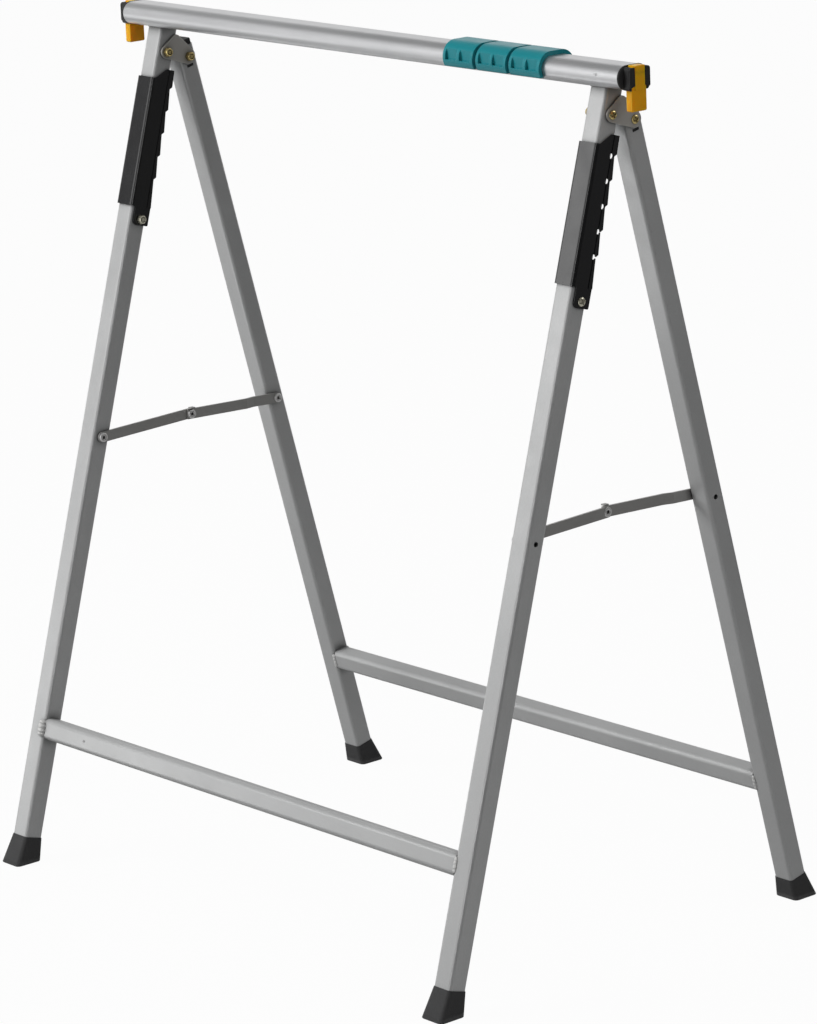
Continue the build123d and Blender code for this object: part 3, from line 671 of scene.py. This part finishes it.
def make_rims(name, place, facing, rims, body, material):
    """Rolled rims about X, on the face of a rivet or a nut."""
    bm = bmesh.new()
    for rim in rims:
        rings = []
        for turn in turns(RIM_STEPS):
            ring = []
            for angle in turns(RIM_SIDES):
                reach = rim.radius + rim.half_thick * math.cos(angle)
                ring.append(Vector((place[0] + facing * rim.height * math.sin(angle),
                                    place[1] + reach * math.cos(turn), place[2] + reach * math.sin(turn))))
            rings.append(ring)
        skin_round(bm, rings)
    close(bm, SEAM)
    keep(name, bm, body, material, SHARP_BEAD)


def make_rivet_rims(material):
    """The rolled ends of the stays' tubular rivets."""
    for side, sign in SIDES:
        for node, place, body in (("stay_rivets_front", STAY_FRONT, "front_frame"),
                                  ("stay_rivets_rear", STAY_REAR, "rear_frame"),
                                  ("stay_centre_rivet_" + side, STAY_CENTRE, "stay_rear_" + side)):
            reach = [v.co.x for v in nodes[node].data.vertices if v.co.x * sign > 0]
            inside = max(reach) if sign < 0 else min(reach)
            make_rims(f"rim_{node}_{side}", (inside, *place), -sign, HEAD_RIMS, body, material)
        bar = "stay_front_" + side
        reach = [v.co.x for v in nodes[bar].data.vertices
                 if math.hypot(v.co.y - STAY_CENTRE[0], v.co.z - STAY_CENTRE[1]) < PIVOT_NEAR]
        outside = min(reach) if sign < 0 else max(reach)
        make_rims("rim_tail_" + side, (outside, *STAY_CENTRE), sign, TAIL_RIMS, bar, material)


# How far along and across its axis a screw's or nut's points lie from each other
SHELL_ALONG, SHELL_ACROSS = 0.04, 0.011


def shells(mesh):
    """The boxes of a node's screws or nuts, told apart by where their points lie."""
    groups = {}
    for vertex in mesh.vertices:
        x, y, z = vertex.co
        for first in groups:
            if abs(first[0] - x) < SHELL_ALONG and math.hypot(first[1] - y, first[2] - z) < SHELL_ACROSS:
                groups[first].append(vertex.co)
                break
        else:
            groups[x, y, z] = [vertex.co]
    boxes = []
    for points in groups.values():
        boxes.append((Vector([min(p[k] for p in points) for k in range(3)]),
                      Vector([max(p[k] for p in points) for k in range(3)])))
    return boxes


def fasteners(kind, looks):
    """The nodes of the hinges' and the arms' screws or nuts, each with its body and material."""
    arms = [(f"arm_{kind}_{side}", "support_arm_" + side, looks["pale"]) for side, sign in SIDES]
    return [(f"hinge_{kind}s", "rear_frame", looks["gold"])] + arms


def make_nut_collars(looks):
    """The round collars of the lock nuts, on the sides that face the middle of the stand."""
    for node, body, material in fasteners("nut", looks):
        for number, (low, high) in enumerate(shells(nodes[node].data)):
            inward = 1 if low.x < 0 else -1
            place = (high.x if inward > 0 else low.x, (low.y + high.y) / 2, (low.z + high.z) / 2)
            make_rims(f"collar_{node}_{number}", place, inward, COLLAR_RIMS, body, material)


# Screws in metres: the solid's head height, the drawn head, its cross recess and how the cross is turned, the
# shank, and the thread at its end, measured from the tip
HEAD_HEIGHT = 0.0018
HEAD_STEPS, SCREW_SIDES = 14, 48
HEAD_RADIUS, HEAD_RISE, HEAD_POWER, HEAD_CENTRE = 0.0041, 0.0022, 0.8, 0.00002
CROSS_DEPTH, CROSS_HALF, CROSS_SLOPE = 0.0013, 0.00085, 0.0003
CROSS_REACH, CROSS_END = 0.0029, 0.0005
CROSS_COS, CROSS_SIN = 0.94, 0.34
SHANK_RADIUS, THREAD_ROOT, TIP_RADIUS = 0.0025, 0.00215, 0.0019
PLAIN_END, THREAD_START = 0.0058, 0.0056
THREADS, THREAD_PITCH = 7, 0.0008


def share_of(value, whole):
    """A value as a share of a whole, from 0 to 1."""
    return max(0.0, min(1.0, value / whole))


def screw(bm, place, facing, seat, end):
    """A pan head with a cross recess, a plain shank and a threaded end, along X."""
    rings = []
    for step in range(HEAD_STEPS + 1):
        angle = math.pi / 2 * (step / HEAD_STEPS)
        reach = HEAD_RADIUS * math.sin(angle) + HEAD_CENTRE
        rise = HEAD_RISE * math.cos(angle) ** HEAD_POWER
        ring = []
        for turn in turns(SCREW_SIDES):
            y, z = reach * math.cos(turn), reach * math.sin(turn)
            near = min(abs(y * CROSS_COS + z * CROSS_SIN), abs(z * CROSS_COS - y * CROSS_SIN))
            pit = CROSS_DEPTH * share_of(CROSS_HALF - near, CROSS_SLOPE)
            pit *= share_of(CROSS_REACH - reach, CROSS_END)
            ring.append((seat + facing * (rise - pit), place[0] + y, place[1] + z))
        rings.append(ring)
    length = abs(end - seat)
    shank = [(0.0, SHANK_RADIUS), (length - PLAIN_END, SHANK_RADIUS)]
    for thread in range(THREADS):
        start = length - THREAD_START + thread * THREAD_PITCH
        shank += [(start, SHANK_RADIUS), (start + THREAD_PITCH / 2, THREAD_ROOT)]
    shank.append((length, TIP_RADIUS))
    for down, reach in shank:
        x = seat - facing * down
        rings.append([(x, place[0] + reach * math.cos(turn), place[1] + reach * math.sin(turn))
                      for turn in turns(SCREW_SIDES)])
    skin(bm, rings)


def make_screws(looks):
    """The hinge and arm screws: heads on the outer sides, threads through the nuts on the inner sides."""
    for node, body, material in fasteners("screw", looks):
        bm = bmesh.new()
        for low, high in shells(nodes[node].data):
            facing = 1 if high.x + low.x > 0 else -1
            place = ((low.y + high.y) / 2, (low.z + high.z) / 2)
            tip, top = (low.x, high.x) if facing > 0 else (high.x, low.x)
            screw(bm, place, facing, top - facing * HEAD_HEIGHT, tip)
        piece = keep(node + "_turned", bm, body, material, SHARP_SCREW)
        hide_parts(node)


# End caps in metres: along X from the beam's end, the base and its rounded rim, the recess behind the stop,
# the lips and their outer face; how far the base stands over the beam's outline; a length past all of a cap;
# the rails' ends, outer side and corners; half the widths of channel and slot; and how the lips end below
CAP_BASE, CAP_ROUND = 0.0024, 0.0012
CAP_RECESS, CAP_LIP_AT, CAP_REACH = 0.0015, 0.0091, 0.0106
CAP_OVER, CAP_PAST = 0.0003, 0.03
RAIL_LOW, RAIL_HIGH, RAIL_OUT, RAIL_CORNER = 0.779, 0.799, 0.0118, 0.0026
CHANNEL, SLOT = 0.0087, 0.0059
LIP_FOOT_UP, LIP_FOOT_POINTS, LIP_SLOT_UP = 0.0016, 4, 0.0042
CORNER_STEPS = 6
CAP_EDGES = dict(width=0.00035, segments=2, angle=50)


def cap_base(sign, low, high, thick):
    """The part of a cap's oval base between two planes, up to a thickness."""
    levels = [(0.0, 0.0)]
    for angle in quarter(CORNER_STEPS):
        levels.append((CAP_BASE - CAP_ROUND + CAP_ROUND * math.sin(angle), CAP_ROUND * (1 - math.cos(angle))))
    rings = []
    for x, inset in levels:
        half_height = BEAM_ROUND + CAP_OVER - inset
        outline = rounded(BEAM_HALF + half_height, half_height, half_height - HAIR)
        rings.append([(sign * (BEAM_END + x), BEAM_Y + y, BEAM_Z + z) for y, z in outline])
    bm = bmesh.new()
    skin(bm, rings)
    cut_off(bm, (0, BEAM_Y + low, 0), (0, -1, 0))
    cut_off(bm, (0, BEAM_Y + high, 0), (0, 1, 0))
    cut_off(bm, (sign * (BEAM_END + thick), 0, 0), (sign, 0, 0))
    return bm


def corner_arc(hand, z, upward):
    """The rounded outer corner of a rail, from its side round to its end."""
    return [(BEAM_Y + hand * (RAIL_OUT - RAIL_CORNER * (1 - math.cos(angle))),
             z - upward * RAIL_CORNER * (1 - math.sin(angle))) for angle in quarter(CORNER_STEPS)]


def make_end_cap(side, sign, material):
    """An end cap: an oval plate with a rounded rim, and two lipped rails with round corners."""
    whole = bmesh.new()
    for low, high, thick in ((-CAP_PAST, -CHANNEL, CAP_PAST), (CHANNEL, CAP_PAST, CAP_PAST),
                             (-CHANNEL, CHANNEL, CAP_RECESS)):
        part = cap_base(sign, low, high, thick)
        mesh = bpy.data.meshes.new("part")
        part.to_mesh(mesh)
        part.free()
        whole.from_mesh(mesh)
        bpy.data.meshes.remove(mesh)
    recess, lip_at, reach = (sign * (BEAM_END + x) for x in (CAP_RECESS, CAP_LIP_AT, CAP_REACH))
    for hand in (-1, 1):
        top = corner_arc(hand, RAIL_HIGH, 1)
        foot = corner_arc(hand, RAIL_LOW, -1)
        channel, slot = BEAM_Y + hand * CHANNEL, BEAM_Y + hand * SLOT
        prism(whole, foot[::-1] + top + [(channel, RAIL_HIGH), (channel, RAIL_LOW)], recess, lip_at)
        lip_foot = [(y, z + LIP_FOOT_UP) for y, z in foot[:LIP_FOOT_POINTS]]
        lip = lip_foot[::-1] + top + [(slot, RAIL_HIGH), (slot, RAIL_LOW + LIP_SLOT_UP)]
        prism(whole, lip, lip_at, reach)
    node = "end_cap_" + side
    piece = keep(node + "_moulded", whole, "front_frame", material, SHARP_MOULDED)
    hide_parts(node)
    round_edges(piece, **CAP_EDGES)


# End stops in metres: half the rib's width, the height at which the solid is cut off under the new head, and
# how far the head reaches below that
STOP_RIB, STOP_SHOULDER, STOP_OVERLAP = 0.0057, 0.7945, 0.001
STOP_EDGES = dict(width=0.0007, segments=3, angle=48)


def make_end_stop(side, material):
    """A sliding stop whose head is no wider than its rib, on the solid's body."""
    node = "end_stop_" + side
    bm = bmesh.new()
    bm.from_mesh(nodes[node].data)
    close(bm, MERGE)
    along = [v.co.x for v in bm.verts]
    top = max(v.co.z for v in bm.verts)
    cut_off(bm, (0, 0, STOP_SHOULDER), (0, 0, 1))
    near, far = BEAM_Y - STOP_RIB, BEAM_Y + STOP_RIB
    low = STOP_SHOULDER - STOP_OVERLAP
    prism(bm, [(near, low), (far, low), (far, top), (near, top)], min(along), max(along))
    piece = keep(node + "_moulded", bm, node, material, SHARP_MOULDED)
    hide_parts(node)
    round_edges(piece, **STOP_EDGES)


# Feet in metres: height up the leg, the sole and how far it lies outward, its rounded edge, the flare's
# rings, the rim at the top, the play round the leg, and how high the floor of the socket lies
FOOT_TALL = {"front": 0.0248, "rear": 0.0225}
SOLE_HALF, SOLE_CORNER, SOLE_SHIFT = (0.0139, 0.0143), 0.0046, 0.0022
SOLE_EDGE, SOLE_STEPS = 0.0009, 3
FLARE_SHARES = (0.25, 0.5, 0.75)
FOOT_RIM_DOWN, FOOT_RIM_OUT, FOOT_RIM_TOP = 0.0004, 0.0006, 0.0003
FOOT_PLAY, FOOT_INSIDE = 0.00004, 0.008


def make_foot(kind, side, sign, material):
    """A rubber foot that starts flush with its leg and flares to a broad, flat sole."""
    node = f"{kind}_foot_{side}"
    way, tall = WAYS[kind], FOOT_TALL[kind]
    up, out = frame_axes(LEANS[kind])
    heel = Vector((sign * LEG_AT, way * FOOT_AT, 0.0))

    def on_leg(rise, extra):
        outline = rounded(LEG_HALF[0] + extra, LEG_HALF[1] + extra, LEG_CORNER + extra)
        return [heel + up * rise + Vector((w, 0, 0)) + out * d for w, d in outline]

    def on_floor(height, inset):
        outline = rounded(SOLE_HALF[0] - inset, SOLE_HALF[1] - inset, SOLE_CORNER - inset)
        return [heel + Vector((w, way * SOLE_SHIFT - d, height)) for w, d in outline]

    rings = [on_floor(SOLE_EDGE * (1 - math.cos(angle)), SOLE_EDGE * (1 - math.sin(angle)))
             for angle in quarter(SOLE_STEPS)]
    sole, head = rings[-1], on_leg(tall - FOOT_RIM_DOWN, FOOT_RIM_OUT)
    for share in FLARE_SHARES:
        rings.append([low.lerp(high, share) for low, high in zip(sole, head)])
    rings += [head, on_leg(tall, FOOT_RIM_TOP), on_leg(tall, FOOT_PLAY), on_leg(FOOT_INSIDE, FOOT_PLAY)]
    bm = bmesh.new()
    skin(bm, rings)
    piece = keep(node + "_moulded", bm, kind + "_frame", material)
    even_normals(piece)
    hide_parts(node)


SADDLE_EDGES = dict(width=0.0004, segments=3, angle=48)


def soften_saddles():
    """Small round edges on the saddles, which keep their solids' shape."""
    for name in SADDLES:
        piece = nodes[name]
        piece.modifiers.new("weld", "WELD").merge_threshold = MERGE
        round_edges(piece, **SADDLE_EDGES)


def make_pieces(looks):
    """All the pieces that are drawn anew or added to the solids."""
    for kind in ("front", "rear"):
        make_crossbar(kind, looks["bars"], looks["bead"])
    make_beam(looks["beam"])
    make_screws(looks)
    for side, sign in SIDES:
        make_beam_weld(side, sign, looks["front"])
        make_end_cap(side, sign, looks["plastic"])
        make_end_stop(side, looks["yellow"])
        for kind in ("front", "rear"):
            make_foot(kind, side, sign, looks["rubber"])
    make_rivet_rims(looks["steel"])
    make_nut_collars(looks)
    soften_saddles()


make_camera()
make_world()
make_floor()
for lamp in LAMPS:
    make_lamp(*lamp)
for card in CARDS:
    make_card(*card)
all_looks = make_looks()
dress(all_looks)
make_pieces(all_looks)
